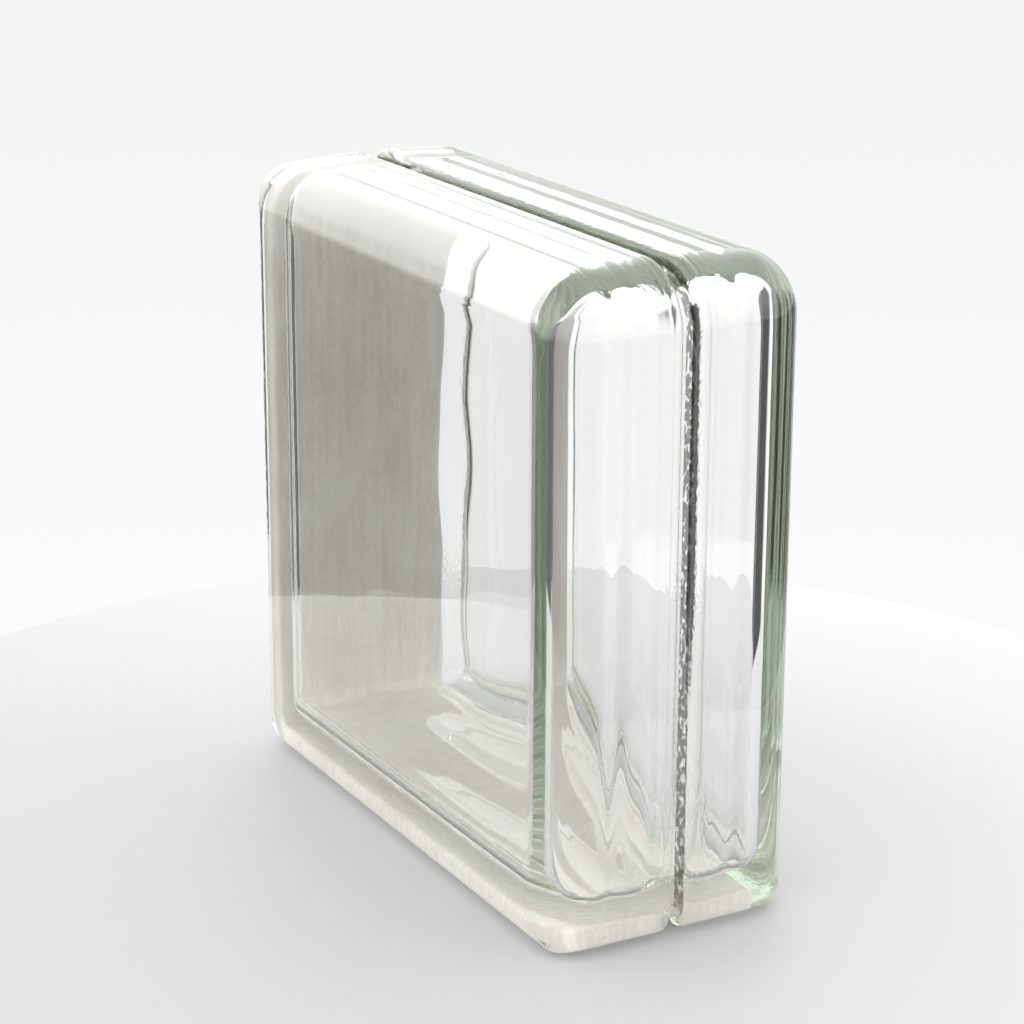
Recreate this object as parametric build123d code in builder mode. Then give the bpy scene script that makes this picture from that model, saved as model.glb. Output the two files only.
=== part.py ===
"""Hollow glass block for the corner of a wall or the end of a parapet.

Two pressed half shells of clear glass are fused rim to rim, and their seam runs round the
middle of the block.  Two neighbouring sides, the top and the +X end, are finished: they are
closed, smooth, and rounded into the faces.  The other two, the base and the -X side, have a
channel between their flanges that takes the mortar and a reinforcing rod.  The walls of the
air space are gently waved from the pressing.

Lengths are millimetres.  X runs along the width, Y through the thickness and Z up.  The
origin is the middle of the base that the block stands on, in the plane of the seam.
"""
import os

from build123d import *

# Overall size
width = 190.0
height = 190.0
depth = 80.0

# Outline of a face, corner by corner
finished_corner_radius = 18.5
top_end_corner_radius = 4.0
base_end_corner_radius = 9.5
mortar_corner_radius = 10.5

# Edges between a face and its sides
finished_edge_radius = 15.0
flange_edge_radius = 8.0

# How far in a finished side stands where its rounding begins; it is widest at the seam
finished_inset = 1.0

# Glass thicknesses
face_thickness = 9.0
finished_wall = 8.5
channel_wall = 6.5
flange_thickness = 12.0

# Mortar channel
channel_depth = 7.0
channel_root_radius = 3.0
channel_corner_radius = 5.0
channel_flare = 0.5
ear_thickness = 10.0

# Air space
cavity_corner_radius = 5.0
cavity_edge_radius = 10.0

# Wave of the air space's walls: a ridge at the joint and a trough on each side of it
wave_height = 1.0
trough_distance = 14.0

# Share of a corner of the air space that the waved band along its walls takes
band_share = 0.9

# Seam between the shells
seam_width = 5.0
seam_depth = 4.5
seam_lip_radius = 2.2
seam_root_radius = 1.6

# How far a cut runs past the glass that it clears, and how far one along the sides does
overrun = 25.0
side_clearance = 2.0

half_width = width / 2
half_depth = depth / 2
half_seam = seam_width / 2
lip_end = half_seam + seam_lip_radius
flange_inside = half_depth - flange_thickness
joint_plane = Plane.XZ

# Limits of the air space, and the band along its walls that carries the wave
air_left = -half_width + channel_depth + channel_wall
air_right = half_width - finished_wall
air_base = channel_depth + channel_wall
air_top = height - finished_wall
air_middle = (air_base + air_top) / 2
air_depth = half_depth - face_thickness
wall_band = cavity_corner_radius * band_share


def corner(sketch, right, top):
    """The vertex at one corner of a sketch on the joint plane."""
    column = sketch.vertices().group_by(Axis.X)[-1 if right else 0]
    return column.sort_by(Axis.Y)[-1 if top else 0]


def face_loop(part):
    """The edges round the end of a body that faces out of the block."""
    return part.faces().sort_by(Axis.Y)[0].edges()


# Rounding of the two flanged sides, where the face meets the flanges
with BuildPart() as flanged_sides:
    with BuildSketch(joint_plane) as flanged_outline:
        with Locations((-half_width, 0)):
            Rectangle(width + overrun, height + overrun, align=(Align.MIN, Align.MIN))
        fillet(corner(flanged_outline, False, False), mortar_corner_radius)
    extrude(amount=half_depth)
    fillet(face_loop(flanged_sides), flange_edge_radius)

# Mortar channel along the base and the -X side, stopped by an ear at each end
channel_start = Plane(origin=(half_width - ear_thickness, 0, 0), x_dir=(0, 0, -1), z_dir=(-1, 0, 0))
with BuildPart() as mortar_channel:
    with BuildLine(joint_plane) as channel_path:
        FilletPolyline(
            (half_width - ear_thickness, 0),
            (-half_width, 0),
            (-half_width, height - ear_thickness),
            radius=channel_depth + channel_corner_radius,
        )
    with BuildSketch(channel_start) as channel_profile:
        with BuildLine():
            Polyline(
                (-channel_depth, 0),
                (-channel_depth, flange_inside - channel_flare),
                (0, flange_inside),
                (side_clearance, flange_inside),
                (side_clearance, 0),
                close=True,
            )
        make_face()
        channel_root = channel_profile.vertices().sort_by_distance((-channel_depth, flange_inside))[0]
        fillet(channel_root, channel_root_radius)
    sweep(path=channel_path.wires()[0])

# Air space inside one shell: waved walls, and a rounding where they meet the face plate
air_start = Plane(origin=(air_right, 0, air_middle), x_dir=(1, 0, 0), z_dir=(0, 0, 1))
with BuildPart() as air_space:
    with BuildLine(joint_plane) as air_path:
        FilletPolyline(
            (air_right, air_middle),
            (air_right, air_top),
            (air_left, air_top),
            (air_left, air_middle),
            radius=cavity_corner_radius,
        )
    with BuildSketch(air_start) as air_profile:
        with BuildLine():
            ridge = TangentArc((-wave_height, 0), (0, -trough_distance / 2), tangent=(0, -1))
            trough = TangentArc(ridge @ 1, (wave_height, -trough_distance), tangent=ridge % 1)
            Polyline(
                trough @ 1,
                (wave_height, -air_depth),
                (-wall_band, -air_depth),
                (-wall_band, 0),
                ridge @ 0,
            )
        make_face()
    sweep(path=air_path.wires()[0])
    mirror(about=Plane.XY.offset(air_middle))
    with BuildSketch(joint_plane) as air_core:
        with Locations(((air_left + air_right) / 2, air_middle)):
            Rectangle(air_right - air_left - 2 * wall_band, air_top - air_base - 2 * wall_band)
        fillet(air_core.vertices(), cavity_corner_radius - wall_band)
    extrude(amount=air_depth)
    fillet(face_loop(air_space), cavity_edge_radius)

# Outside of the two finished sides: groove at the joint, lip, widest part, and rounded edge
side_start = Plane(origin=(half_width, 0, -overrun), x_dir=(1, 0, 0), z_dir=(0, 0, 1))
with BuildPart() as finished_sides:
    with BuildLine(joint_plane) as side_path:
        FilletPolyline(
            (half_width, -overrun),
            (half_width, height),
            (-half_width - overrun, height),
            radius=finished_corner_radius,
        )
    with BuildSketch(side_start) as side_profile:
        with BuildLine():
            root = CenterArc(
                (-seam_depth + seam_root_radius, -half_seam + seam_root_radius), seam_root_radius, 180, 90
            )
            lip = CenterArc((-seam_lip_radius, -lip_end), seam_lip_radius, 0, 90)
            edge = CenterArc(
                (-finished_inset - finished_edge_radius, -half_depth + finished_edge_radius),
                finished_edge_radius,
                -90,
                90,
            )
            Line(root @ 1, lip @ 1)
            Line(lip @ 0, edge @ 1)
            Polyline(
                edge @ 0,
                (-finished_inset - finished_edge_radius, -half_depth - side_clearance),
                (side_clearance, -half_depth - side_clearance),
                (side_clearance, 0),
                (-seam_depth, 0),
                root @ 0,
            )
        make_face()
    sweep(path=side_path.wires()[0])

# Gap between the rims along the mortar sides, where the ears of the two shells face each other
with BuildPart() as ear_gap:
    with BuildSketch(joint_plane):
        with BuildLine():
            Polyline(
                (-half_width - overrun, -overrun),
                (half_width + overrun, -overrun),
                (half_width + overrun, channel_depth),
                (-half_width + channel_depth, channel_depth),
                (-half_width + channel_depth, height + overrun),
                (-half_width - overrun, height + overrun),
                close=True,
            )
        make_face()
    extrude(amount=half_seam)

with BuildPart() as front_shell:
    with BuildSketch(joint_plane) as face_outline:
        with Locations((0, height / 2)):
            Rectangle(width, height)
        fillet(corner(face_outline, True, True), finished_corner_radius)
        fillet(corner(face_outline, False, True), top_end_corner_radius)
        fillet(corner(face_outline, True, False), base_end_corner_radius)
        fillet(corner(face_outline, False, False), mortar_corner_radius)
    extrude(amount=half_depth)
    add(flanged_sides.part, mode=Mode.INTERSECT)
    add(mortar_channel.part, mode=Mode.SUBTRACT)
    add(air_space.part, mode=Mode.SUBTRACT)
    add(finished_sides.part, mode=Mode.SUBTRACT)
    add(ear_gap.part, mode=Mode.SUBTRACT)
front_shell.part.label = "front_shell"

with BuildPart() as back_shell:
    mirror(front_shell.part, about=joint_plane)
back_shell.part.label = "back_shell"

os.makedirs("parts", exist_ok=True)
for shell in (front_shell, back_shell):
    export_step(shell.part, f"parts/{shell.part.label}.step")
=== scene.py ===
"""Looks of the hollow glass block: one fused body of clear pressed glass on a pale table.

The two half shells of the frame touch face to face.  Light would see a mirror between them,
so one continuous glass piece replaces both: an outer skin with the seam groove and the
mortar channels, and an inner skin round the air space.  Lengths below are millimetres, in
the frame's axes, and become metres where a mesh is made; the table's are metres from the start.
"""
import math

import bpy
import numpy as np
from mathutils import Matrix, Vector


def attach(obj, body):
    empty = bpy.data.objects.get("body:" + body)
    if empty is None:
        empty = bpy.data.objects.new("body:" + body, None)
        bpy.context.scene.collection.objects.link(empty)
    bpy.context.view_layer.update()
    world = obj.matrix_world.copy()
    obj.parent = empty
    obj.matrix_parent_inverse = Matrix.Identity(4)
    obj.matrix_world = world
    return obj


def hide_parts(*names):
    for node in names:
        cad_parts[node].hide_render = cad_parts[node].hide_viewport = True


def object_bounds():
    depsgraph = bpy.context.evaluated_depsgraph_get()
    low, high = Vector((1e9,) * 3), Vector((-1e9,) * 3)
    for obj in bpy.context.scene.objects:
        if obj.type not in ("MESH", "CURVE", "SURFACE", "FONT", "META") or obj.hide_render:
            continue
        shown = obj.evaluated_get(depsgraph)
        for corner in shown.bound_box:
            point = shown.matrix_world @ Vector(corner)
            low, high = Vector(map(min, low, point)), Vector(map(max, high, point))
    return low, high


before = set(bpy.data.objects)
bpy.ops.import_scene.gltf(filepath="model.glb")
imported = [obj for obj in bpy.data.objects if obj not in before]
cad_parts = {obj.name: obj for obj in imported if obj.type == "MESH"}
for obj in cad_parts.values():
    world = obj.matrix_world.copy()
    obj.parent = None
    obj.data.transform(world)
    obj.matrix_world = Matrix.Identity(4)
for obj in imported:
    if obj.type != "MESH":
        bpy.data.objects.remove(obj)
cad_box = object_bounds()

MM = 0.001

# Sizes of the block, as in the frame
low, high = (np.array(corner) / MM for corner in cad_box)
half_width = (high[0] - low[0]) / 2
height = high[2] - low[2]
half_depth = (high[1] - low[1]) / 2

finished_corner_radius = 18.5
top_end_corner_radius = 4.0
base_end_corner_radius = 9.5
mortar_corner_radius = 10.5
finished_edge_radius = 15.0
flange_edge_radius = 8.0
finished_draft = 1.0

face_thickness = 9.0
finished_wall = 8.5
channel_wall = 6.5
flange_thickness = 12.0

channel_depth = 7.0
channel_root_radius = 3.0
flange_lip_radius = 1.2
ear_thickness = 10.0
ear_flank = 1.5

seam_half_width = 2.2
seam_depth = 4.5
seam_lip_radius = 2.4
seam_root_radius = 1.6

# Fine lines that the press left beside the seam, as distances from the seam plane and depths
press_lines = ((5.9, 0.25), (7.6, 0.15))
press_line_half_width = 0.4

cavity_corner_radius = 5.0
cavity_edge_radius = 10.0
wave_height = 0.9
trough_distance = 11.0
bead_height = 0.3
bead_half_width = 1.6
second_ridge_height = 0.8
second_ridge_distance = 19.0
second_ridge_half_width = 3.0

# Unevenness of the pressed inner walls along the block's sides, and of the face plates
ripple_height = 0.04
ripple_lengths = (29.0, 17.0, 43.0)
plate_wave_height = 0.015
plate_wave_length = 46.0

# Foot of the finished end, where the mould's rim left the glass a little fuller
foot_height = 8.0
foot_blend = 3.0
foot_step = 0.8

# Points along a side and a corner of every ring, and levels on each stretch of its profile
PER_SIDE = 84
PER_CORNER = 17
END_CROWDING = 0.75
LEAST_CORNER = 0.8
FLOOR, ROOT, WALL, LIP, SIDE, EDGE = 8, 7, 5, 8, 20, 13
FLANGE_SPREAD = 4.0
INNER_WALL, INNER_EDGE = 26, 10
OUTER_FACE_RINGS, INNER_FACE_RINGS = 4, 15
LAST_RING_SHARE = 0.05

# Least share of the channel's profile, where an ear goes over into it, that has the coat
COAT_SHARE = 0.02

# Phases of the ripples, per wave and per millimetre away from the seam
ripple_phase = 0.37
ripple_slant = 0.11

# Waves of a face plate: turns along X and Z, and phase; they fade in over the first rings
plate_waves = ((1.0, 0.6, 0.0), (-1.3, 0.7, 1.0), (0.3, 1.4, 2.0))
plate_fade_rings = 4

# Glass, its rough seam with painted shade in the seam's root, and the mortar coat
glass_tint = (0.705, 0.762, 0.69, 1.0)
glass_density = 15.0
glass_index = 1.52
grain_scales = (450.0, 1300.0, 450.0)
grain_depth = 0.22
# dark specks painted into the seam's root as its shade, and the noise limits that place them
seam_shade_colour = (0.10, 0.10, 0.09, 1.0)
seam_shade_limits = (0.33, 0.50)
coat_dark = (0.88, 0.81, 0.76, 1.0)
coat_light = (1.0, 0.965, 0.93, 1.0)
coat_through = 0.05
blotch_scale = 45.0
streak_scales = (520.0, 520.0, 30.0)
coat_grain_scale = 900.0
coat_limits = (1.1, 1.9)
coat_roughness = 0.8

# Round table under the block in metres, lit from above, with a painted glow of its own
table_sides = 256
table_radius = 0.248
table_middle = (0.0062, -0.0012, -0.0003)
table_colour = (0.28, 0.28, 0.281, 1.0)
table_shine = 0.15
table_roughness = 0.55
# painted glow of the table, which is no lamp: its direction and its strengths at the near and far
# edges
table_glow_direction = (-0.27, 0.96, 0.0)
table_glow_near = 0.03
table_glow_far = 0.21

# Radiance of the studio in the directions round the block
backdrop_direction = (-0.871, 0.491, 0.0)
backdrop_edge = 0.8
backdrop_softness = 0.06
backdrop_light = 1.2
seen_low = -0.32
seen_high = -0.14
backdrop_low = 0.965
backdrop_high = 0.90
room_light = 1.55
floor_light = 0.10
horizon = -0.06
horizon_softness = 0.04
ceiling_edge = 0.22
ceiling_softness = 0.1
ceiling_light = 2.5
key_direction = (-0.28, -0.83, 0.48)
key_edge = 0.82
key_softness = 0.08
key_light = 3.7

# The photograph's camera, fitted to the block's outline
camera_place = (701.82, -391.54, 353.19)
camera_azimuth = 60.89
camera_elevation = 17.64
camera_roll = 0.22
focal_pixels = 2870.5
picture_pixels = 1024
sensor_width = 36.0

# Light runs far along the inside of the glass before it leaves
glass_bounces = 32
diffuse_bounces = 8


def smooth(x):
    """Smooth step from 0 to 1 over the unit interval."""
    x = np.clip(x, 0.0, 1.0)
    return x * x * (3.0 - 2.0 * x)


def side_shares(count):
    """Inner shares along a straight side, closer together near both ends."""
    t = np.linspace(0.0, 1.0, count + 2)[1:-1]
    return t - END_CROWDING * np.sin(2 * math.pi * t) / (2 * math.pi)


def loop(insets, radii, limits):
    """Points of a rounded rectangle in the XZ plane, counter-clockwise as seen from the front.

    insets are the distances in from the right, top, left and bottom limits, radii the corner
    radii at the limits in the order top right, top left, bottom left, bottom right.  A corner
    keeps a small radius where an inset is larger than its own.  The loop starts on the right
    side above the base.
    """
    x0, x1, z0, z1 = limits
    right, top, left, bottom = insets
    sides = [(right, top), (left, top), (left, bottom), (right, bottom)]
    corners = [(x1 - right, z1 - top), (x0 + left, z1 - top)]
    corners += [(x0 + left, z0 + bottom), (x1 - right, z0 + bottom)]
    inward = [(-1, -1), (1, -1), (1, 1), (-1, 1)]
    angle = np.radians(np.linspace(0.0, 90.0, PER_CORNER))
    arcs = []
    for k in range(4):
        semi_x = max(radii[k] - sides[k][0], LEAST_CORNER)
        semi_z = max(radii[k] - sides[k][1], LEAST_CORNER)
        cx = corners[k][0] + inward[k][0] * semi_x
        cz = corners[k][1] + inward[k][1] * semi_z
        turn = angle + math.pi / 2 * k
        arcs.append(np.stack([cx + semi_x * np.cos(turn), cz + semi_z * np.sin(turn)], axis=1))
    shares = side_shares(PER_SIDE)
    points = []
    for k in range(4):
        start, end = arcs[k - 1][-1], arcs[k][0]
        points.append(start + np.outer(shares, end - start))
        points.append(arcs[k])
    return np.concatenate(points)


def arc_levels(count, start_angle, end_angle):
    """Cosines and sines along an arc, without its last point."""
    angle = np.radians(np.linspace(start_angle, end_angle, count, endpoint=False))
    return list(zip(np.cos(angle), np.sin(angle)))


def line_levels(count):
    """Shares along a line, without its last point."""
    return list(np.linspace(0.0, 1.0, count, endpoint=False))


def rounding(y, radius):
    """Inset of a side at a distance from the seam plane, where it rounds into the face."""
    reach = np.maximum(y - (half_depth - radius), 0.0)
    return radius - np.sqrt(np.maximum(radius ** 2 - reach ** 2, 0.0))


def rim_levels(depth, root_y, root_radius, lip_radius):
    """Inset and distance from the seam plane, from the joint out to the lip's end."""
    levels = []
    for t in line_levels(FLOOR):
        levels.append((depth, t * (root_y - root_radius)))
    for c, s in arc_levels(ROOT, 0.0, 90.0):
        levels.append((depth - root_radius * (1 - c), root_y - root_radius * (1 - s)))
    for t in line_levels(WALL):
        levels.append((depth - root_radius + t * (lip_radius - depth + root_radius), root_y))
    for c, s in arc_levels(LIP, 0.0, 90.0):
        levels.append((lip_radius * (1 - s), root_y + lip_radius * (1 - c)))
    return levels


# Where the seam's lip ends, the flange begins and a finished side's rounding begins
lip_end = seam_half_width + seam_lip_radius
flange_start = half_depth - flange_thickness
edge_start = half_depth - finished_edge_radius

# Distances from the seam plane at which the sides and their roundings have rings
side_distances = np.concatenate([
    lip_end + (edge_start - lip_end) * np.array(line_levels(SIDE)) ** 2,
    edge_start + finished_edge_radius * np.sin(np.radians(np.linspace(0.0, 90.0, EDGE + 1))),
])
flange_distances = np.maximum(
    side_distances,
    flange_start + flange_lip_radius + np.linspace(0.0, FLANGE_SPREAD, len(side_distances)))

# Insets of a finished side: its draft, its rounding and the press lines
draft_share = np.clip((side_distances - lip_end) / (edge_start - lip_end), 0.0, 1.0)
finished_insets = finished_draft * draft_share + rounding(side_distances, finished_edge_radius)
for distance, depth in press_lines:
    finished_insets += depth * np.exp(-(((side_distances - distance) / press_line_half_width) ** 2))

# Profiles of a finished side, an ear and a mortar side, as insets and distances
finished_profile = (
    rim_levels(seam_depth, seam_half_width, seam_root_radius, seam_lip_radius)
    + list(zip(finished_insets, side_distances)))
ear_profile = (
    rim_levels(channel_depth, seam_half_width, seam_root_radius, seam_lip_radius)
    + list(zip(rounding(side_distances, flange_edge_radius), side_distances)))
mortar_profile = (
    rim_levels(channel_depth, flange_start, channel_root_radius, flange_lip_radius)
    + list(zip(rounding(flange_distances, flange_edge_radius), flange_distances)))

# Outline of a face
corner_radii = (
    finished_corner_radius, top_end_corner_radius, mortar_corner_radius, base_end_corner_radius)
block_limits = (-half_width, half_width, 0.0, height)
nominal = loop((0.0,) * 4, corner_radii, block_limits)


def corner_share(first, last):
    """Share along one corner's arc, held before and after it, for every point of a loop."""
    index = np.arange(len(nominal))
    return smooth((index - first) / (last - first))


def side_kinds():
    """Shares of the finished sides' profile and of the channel's for every point of a loop."""
    stretch = PER_SIDE + PER_CORNER
    index = np.arange(len(nominal))
    top_left = (PER_SIDE + stretch, 2 * stretch - 1)
    bottom_right = (PER_SIDE + 3 * stretch, 4 * stretch - 1)
    finished = 1.0 - corner_share(*top_left) + corner_share(*bottom_right)
    x, z = nominal[:, 0], nominal[:, 1]
    base_ear = smooth((x - (half_width - ear_thickness - ear_flank)) / (2 * ear_flank))
    top_ear = smooth((z - (height - ear_thickness - ear_flank)) / (2 * ear_flank))
    channel = (1.0 - np.maximum(base_ear, top_ear)) * (index >= top_left[0])
    return finished, channel


def outer_rings():
    """Rings of the outer skin of the front half, from the joint to the face."""
    finished, channel = side_kinds()
    rings = []
    for seam, ear, mortar in zip(finished_profile, ear_profile, mortar_profile):
        # where an ear ends, its profile goes over into the channel's
        ear_distance = ear[1] * (1 - channel) + mortar[1] * channel
        distance = seam[1] * finished + ear_distance * (1 - finished)
        by_ear = loop((seam[0], seam[0], ear[0], ear[0]), corner_radii, block_limits)
        by_channel = loop((seam[0], seam[0], mortar[0], mortar[0]), corner_radii, block_limits)
        flat = by_ear + (by_channel - by_ear) * channel[:, None]
        foot = smooth((foot_height + foot_blend / 2 - flat[:, 1]) / foot_blend) * (flat[:, 0] > 0)
        flat[:, 0] += min(foot_step, seam[0]) * foot * finished * (distance > lip_end)
        rings.append(np.stack([flat[:, 0], -distance, flat[:, 1]], axis=1))
    return rings, channel


def inward_normals(flat):
    """Unit vectors into a loop that runs counter-clockwise."""
    steps = np.roll(flat, -1, axis=0) - np.roll(flat, 1, axis=0)
    steps /= np.linalg.norm(steps, axis=1)[:, None]
    return np.stack([-steps[:, 1], steps[:, 0]], axis=1)


def ripple(flat, y):
    """Unevenness of the inner walls, as an extra inset for every point of a loop."""
    steps = np.linalg.norm(flat - np.roll(flat, 1, axis=0), axis=1)
    place = np.cumsum(steps)
    whole = place[-1]
    total = np.zeros(len(flat))
    for k, length in enumerate(ripple_lengths):
        turns = round(whole / length)
        phase = 2 * math.pi * ripple_phase * k + ripple_slant * (k + 1) * y
        total += np.sin(2 * math.pi * turns * place / whole + phase)
    return ripple_height * total / len(ripple_lengths)


def soft_ridge(y, middle, reach, rise):
    """Height, at y, of a soft rounded ridge."""
    return rise * math.exp(-(((y - middle) / reach) ** 2))


def wall_inset(y):
    """Inset of the waved inner walls at a distance from the seam plane."""
    wave = wave_height * math.cos(math.pi * min(y / trough_distance, 1.0))
    bead = soft_ridge(y, 0.0, bead_half_width, bead_height)
    second = soft_ridge(y, second_ridge_distance, second_ridge_half_width, second_ridge_height)
    return wave + bead + second


def inner_rings():
    """Rings of the air space in the front half, from the joint to the face plate."""
    depth = half_depth - face_thickness
    wall_end = depth - cavity_edge_radius
    levels = []
    for t in line_levels(INNER_WALL):
        levels.append((wall_inset(t * wall_end), t * wall_end))
    for c, s in arc_levels(INNER_EDGE, 0.0, 90.0):
        y = wall_end + cavity_edge_radius * s
        levels.append((wall_inset(y) + cavity_edge_radius * (1 - c), y))
    levels.append((wall_inset(depth) + cavity_edge_radius, depth))
    base = channel_depth + channel_wall
    air_limits = (-half_width + base, half_width - finished_wall, base, height - finished_wall)
    rings = []
    for inset, y in levels:
        flat = loop((inset,) * 4, (cavity_corner_radius,) * 4, air_limits)
        flat += inward_normals(flat) * ripple(flat, y)[:, None]
        rings.append(np.stack([flat[:, 0], np.full(len(flat), -y), flat[:, 1]], axis=1))
    return rings


def face_rings(last, count):
    """Rings that fill a flat face from its rim inwards, in equal steps."""
    centre = last.mean(axis=0)
    shares = np.linspace(1.0, LAST_RING_SHARE, count)[1:]
    return [centre + (last - centre) * share for share in shares]


def wave_plate(rings):
    """Make the inner side of a face plate gently uneven, but not its rim."""
    for k, ring in enumerate(rings):
        x, z = (2 * math.pi * ring[:, axis] / plate_wave_length for axis in (0, 2))
        waves = sum(np.sin(across * x + up * z + phase) for across, up, phase in plate_waves)
        ring[:, 1] += plate_wave_height * waves * smooth((k + 1) / plate_fade_rings)
    # the small middle of the plate is flat
    rings[-1][:, 1] = rings[-1][:, 1].mean()
    return rings


def skin(front_rings, inward):
    """Vertices and faces of a closed skin: the front half's rings, mirrored for the back.

    A fan of triangles closes the last ring in the middle of each face.
    """
    count = len(front_rings[0])
    back_rings = [ring * np.array([1.0, -1.0, 1.0]) for ring in front_rings[1:]]
    rings = front_rings[::-1] + back_rings
    centres = np.array([rings[0].mean(axis=0), rings[-1].mean(axis=0)])
    vertices = np.concatenate(rings + [centres])
    faces = []
    for level in range(len(rings) - 1):
        a, b = level * count, (level + 1) * count
        for k in range(count):
            n = (k + 1) % count
            faces.append((a + k, b + k, b + n, a + n))
    last = (len(rings) - 1) * count
    front_centre, back_centre = len(rings) * count, len(rings) * count + 1
    for k in range(count):
        n = (k + 1) % count
        faces.append((k, n, front_centre))
        faces.append((last + n, last + k, back_centre))
    if inward:
        faces = [face[::-1] for face in faces]
    return vertices, faces


def mark_coat(mesh, strips, count, channel):
    """Give the coat's material to the channel's floor and to the flanges' inner sides."""
    coated = np.zeros(len(mesh.polygons), dtype=int)
    for strip in range(strips):
        level = abs(strip - strips / 2 + 0.5)
        if level < FLOOR + ROOT + WALL:
            coated[strip * count:(strip + 1) * count] = channel > COAT_SHARE
    mesh.polygons.foreach_set("material_index", coated)


def mark_roughness(mesh, rings, count):
    """Mark the fused seam and the flanges' rims as rough, and the walls of its root for painted shade.
    """
    finished = side_kinds()[0]
    root_end = FLOOR + ROOT + WALL
    seam_end = root_end + LIP
    rough = np.zeros((rings, count))
    painted_seam_shade = np.zeros((rings, count))
    for ring in range(rings):
        level = abs(ring - rings // 2)
        in_seam = level <= seam_end
        in_root = FLOOR <= level <= root_end
        at_rim = seam_end <= level < seam_end + SIDE + EDGE
        rough[ring] = in_seam * finished + at_rim * (1 - finished)
        painted_seam_shade[ring] = in_root * finished
    for name, values in (("rough_share", rough), ("seam_shade_share", painted_seam_shade)):
        whole = np.zeros(len(mesh.vertices))
        whole[:values.size] = values.ravel()
        mesh.attributes.new(name, "FLOAT", "POINT").data.foreach_set("value", whole)


def glass_mesh():
    """Mesh of the fused block: its outer skin and the skin round its air space."""
    outer, channel = outer_rings()
    outer += face_rings(outer[-1], OUTER_FACE_RINGS)
    inner = inner_rings()
    inner += wave_plate(face_rings(inner[-1], INNER_FACE_RINGS))
    outer_vertices, outer_faces = skin(outer, False)
    inner_vertices, inner_faces = skin(inner, True)
    offset = len(outer_vertices)
    vertices = np.concatenate([outer_vertices, inner_vertices]) * MM
    faces = outer_faces + [tuple(v + offset for v in face) for face in inner_faces]
    mesh = bpy.data.meshes.new("glass_block")
    mesh.from_pydata(vertices.tolist(), [], faces)
    mesh.update()
    count = len(outer[0])
    rings = 2 * len(outer) - 1
    mark_coat(mesh, rings - 1, count, channel)
    mark_roughness(mesh, rings, count)
    mesh.polygons.foreach_set("use_smooth", np.ones(len(faces), dtype=bool))
    return mesh


def chain(tree, kind, *inputs, **settings):
    """A node with its inputs set or linked in order, as its first output."""
    node = tree.nodes.new(kind)
    for name, value in settings.items():
        setattr(node, name, value)
    for slot, value in zip(node.inputs, inputs):
        if isinstance(value, bpy.types.NodeSocket):
            tree.links.new(value, slot)
        elif value is not None:
            slot.default_value = value
    return node.outputs[0] if node.outputs else None


def ramp(tree, value, low_end, high_end):
    """Smooth share of a value between two limits."""
    return chain(tree, "ShaderNodeMapRange", value, low_end, high_end, 0.0, 1.0,
                 interpolation_type="SMOOTHSTEP")


def noise(tree, place, scale, detail):
    """Noise from 0 to 1 at a place."""
    return chain(tree, "ShaderNodeTexNoise", place, None, scale, detail)


def along(tree, vector, direction):
    """How far a vector goes in a direction."""
    dot = chain(tree, "ShaderNodeVectorMath", vector, direction, operation="DOT_PRODUCT")
    return dot.node.outputs["Value"]


def stretched(tree, vector, scales):
    """A vector with its parts scaled."""
    return chain(tree, "ShaderNodeVectorMath", vector, scales, operation="MULTIPLY")


def tint(tree, share, first, second):
    """Colour between two colours."""
    node = tree.nodes.new("ShaderNodeMix")
    node.data_type = "RGBA"
    tree.links.new(share, node.inputs[0])
    node.inputs[6].default_value = first
    node.inputs[7].default_value = second
    return node.outputs[2]


def blend(tree, share, first, second):
    """Number between two numbers."""
    return chain(tree, "ShaderNodeMapRange", share, 0.0, 1.0, first, second)


def mix(tree, share, first, second):
    """Number between two sockets' numbers."""
    node = tree.nodes.new("ShaderNodeMix")
    tree.links.new(share, node.inputs["Factor"])
    tree.links.new(first, node.inputs["A"])
    tree.links.new(second, node.inputs["B"])
    return node.outputs["Result"]


def new_material(name):
    """An empty material and its node tree."""
    material = bpy.data.materials.new(name)
    material.use_nodes = True
    material.node_tree.nodes.clear()
    return material, material.node_tree


def glass_material():
    """Clear glass whose green grows with the path, rough where the mesh says so, and with painted
    shade in the seam's root.
    """
    material, tree = new_material("clear_pressed_glass")
    nodes, links = tree.nodes, tree.links
    output = nodes.new("ShaderNodeOutputMaterial")
    glass = nodes.new("ShaderNodeBsdfPrincipled")
    glass.inputs["Roughness"].default_value = 0.0
    glass.inputs["IOR"].default_value = glass_index
    glass.inputs["Transmission Weight"].default_value = 1.0
    links.new(glass.outputs["BSDF"], output.inputs["Surface"])
    rough = nodes.new("ShaderNodeAttribute")
    rough.attribute_name = "rough_share"
    seam_shade_node = nodes.new("ShaderNodeAttribute")
    seam_shade_node.attribute_name = "seam_shade_share"
    place = nodes.new("ShaderNodeTexCoord").outputs["Object"]
    grain = noise(tree, stretched(tree, place, grain_scales), 1.0, 3.0)
    bump = nodes.new("ShaderNodeBump")
    bump.inputs["Distance"].default_value = grain_depth * MM
    links.new(rough.outputs["Fac"], bump.inputs["Strength"])
    links.new(grain, bump.inputs["Height"])
    links.new(bump.outputs["Normal"], glass.inputs["Normal"])
    # dark specks painted into the walls of the seam's root stand in for the shade there
    specks = ramp(tree, grain, *seam_shade_limits)
    painted_seam_shade = chain(tree, "ShaderNodeMath", seam_shade_node.outputs["Fac"], specks, operation="MULTIPLY")
    links.new(tint(tree, painted_seam_shade, (1.0, 1.0, 1.0, 1.0), seam_shade_colour), glass.inputs["Base Color"])
    absorption = nodes.new("ShaderNodeVolumeAbsorption")
    absorption.inputs["Color"].default_value = glass_tint
    absorption.inputs["Density"].default_value = glass_density
    links.new(absorption.outputs["Volume"], output.inputs["Volume"])
    return material


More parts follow.
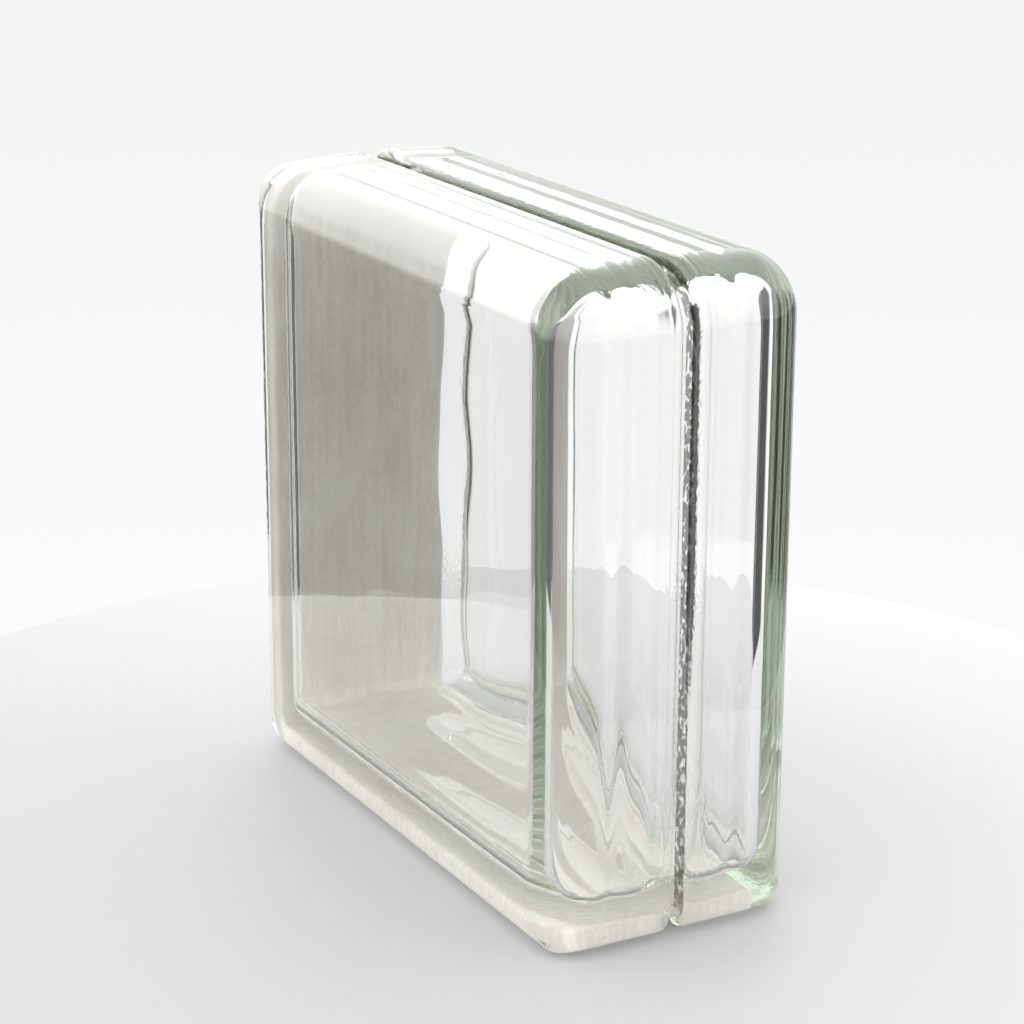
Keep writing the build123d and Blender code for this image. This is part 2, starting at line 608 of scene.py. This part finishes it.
def coat_material():
    """Pale bond coat with blotches, runs and grain, that lets a little light through."""
    material, tree = new_material("mortar_bond_coat")
    nodes, links = tree.nodes, tree.links
    output = nodes.new("ShaderNodeOutputMaterial")
    place = nodes.new("ShaderNodeTexCoord").outputs["Object"]
    blotches = noise(tree, place, blotch_scale, 4.0)
    streaks = noise(tree, stretched(tree, place, streak_scales), 1.0, 3.0)
    grain = noise(tree, place, coat_grain_scale, 2.0)
    share = chain(tree, "ShaderNodeMath", blotches, streaks, operation="ADD")
    share = chain(tree, "ShaderNodeMath", share, grain, operation="ADD")
    share = ramp(tree, share, *coat_limits)
    colour = tint(tree, share, coat_dark, coat_light)
    coat = nodes.new("ShaderNodeBsdfPrincipled")
    links.new(colour, coat.inputs["Base Color"])
    coat.inputs["Roughness"].default_value = coat_roughness
    through = nodes.new("ShaderNodeBsdfTranslucent")
    links.new(colour, through.inputs["Color"])
    mixed = nodes.new("ShaderNodeMixShader")
    mixed.inputs["Fac"].default_value = coat_through
    links.new(coat.outputs["BSDF"], mixed.inputs[1])
    links.new(through.outputs["BSDF"], mixed.inputs[2])
    links.new(mixed.outputs["Shader"], output.inputs["Surface"])
    return material


def add_block():
    """The fused block, in the place of the two half shells."""
    block = bpy.data.objects.new("fused_glass_block", glass_mesh())
    bpy.context.scene.collection.objects.link(block)
    block.data.materials.append(glass_material())
    block.data.materials.append(coat_material())
    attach(block, "root")
    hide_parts("front_shell", "back_shell")
    return block


def add_table():
    """The round table, which is stage, and its painted glow."""
    bpy.ops.mesh.primitive_circle_add(
        vertices=table_sides, radius=table_radius, fill_type="NGON", location=table_middle)
    table = bpy.context.object
    table.name = "table"
    material, tree = new_material("pale_table")
    nodes, links = tree.nodes, tree.links
    output = nodes.new("ShaderNodeOutputMaterial")
    surface = nodes.new("ShaderNodeBsdfPrincipled")
    surface.inputs["Base Color"].default_value = table_colour
    surface.inputs["Emission Color"].default_value = (1.0, 1.0, 1.0, 1.0)
    surface.inputs["Roughness"].default_value = table_roughness
    surface.inputs["Specular IOR Level"].default_value = table_shine
    # the table glows with painted light, weaker at its near left edge and stronger towards its far
    # right part
    place = nodes.new("ShaderNodeTexCoord").outputs["Object"]
    far = ramp(tree, along(tree, place, table_glow_direction), -table_radius, table_radius)
    links.new(blend(tree, far, table_glow_near, table_glow_far), surface.inputs["Emission Strength"])
    links.new(surface.outputs["BSDF"], output.inputs["Surface"])
    table.data.materials.append(material)


def light_world():
    """A white backdrop ahead, soft light overhead and round the block, and a dark floor."""
    world = bpy.data.worlds.new("studio")
    bpy.context.scene.world = world
    # the studio is one broad light, found well enough without aiming at it
    world.cycles.sampling_method = "NONE"
    world.use_nodes = True
    tree = world.node_tree
    tree.nodes.clear()
    direction = chain(tree, "ShaderNodeTexCoord")
    ahead = along(tree, direction, backdrop_direction)
    parts = tree.nodes.new("ShaderNodeSeparateXYZ")
    tree.links.new(direction, parts.inputs[0])
    upward = parts.outputs["Z"]
    backdrop = ramp(tree, ahead, backdrop_edge - backdrop_softness, backdrop_edge + backdrop_softness)
    low_part = blend(tree, backdrop, floor_light, backdrop_light)
    high_part = blend(tree, backdrop, room_light, backdrop_light)
    above = ramp(tree, upward, horizon - horizon_softness, horizon + horizon_softness)
    walls = mix(tree, above, low_part, high_part)
    overhead = ramp(tree, upward, ceiling_edge - ceiling_softness, ceiling_edge + ceiling_softness)
    upper = blend(tree, overhead, walls, ceiling_light)
    to_key = along(tree, direction, key_direction)
    in_key = ramp(tree, to_key, key_edge - key_softness, key_edge + key_softness)
    studio = blend(tree, in_key, upper, key_light)
    path = tree.nodes.new("ShaderNodeLightPath")
    # the picture's white backdrop darkens a little towards its top
    white = chain(tree, "ShaderNodeMapRange", upward, seen_low, seen_high, backdrop_low, backdrop_high)
    seen = mix(tree, path.outputs["Is Camera Ray"], studio, white)
    background = chain(tree, "ShaderNodeBackground", (1.0, 1.0, 1.0, 1.0), seen)
    chain(tree, "ShaderNodeOutputWorld", background)


def add_camera():
    """The photograph's camera."""
    data = bpy.data.cameras.new("camera")
    data.sensor_width = sensor_width
    data.lens = focal_pixels / picture_pixels * sensor_width
    camera = bpy.data.objects.new("camera", data)
    bpy.context.scene.collection.objects.link(camera)
    a, e, r = (math.radians(v) for v in (camera_azimuth, camera_elevation, camera_roll))
    look = np.array([-math.sin(a) * math.cos(e), math.cos(a) * math.cos(e), -math.sin(e)])
    right = np.array([math.cos(a), math.sin(a), 0.0])
    up = np.cross(right, look)
    right, up = right * math.cos(r) + up * math.sin(r), up * math.cos(r) - right * math.sin(r)
    turn = Matrix((right, up, -look)).transposed()
    camera.matrix_world = Matrix.Translation([v * MM for v in camera_place]) @ turn.to_4x4()
    bpy.context.scene.camera = camera


scene = bpy.context.scene
scene.view_settings.view_transform = "Standard"
scene.cycles.max_bounces = glass_bounces
scene.cycles.transmission_bounces = glass_bounces
scene.cycles.glossy_bounces = glass_bounces
scene.cycles.diffuse_bounces = diffuse_bounces

add_camera()
add_block()
add_table()
light_world()
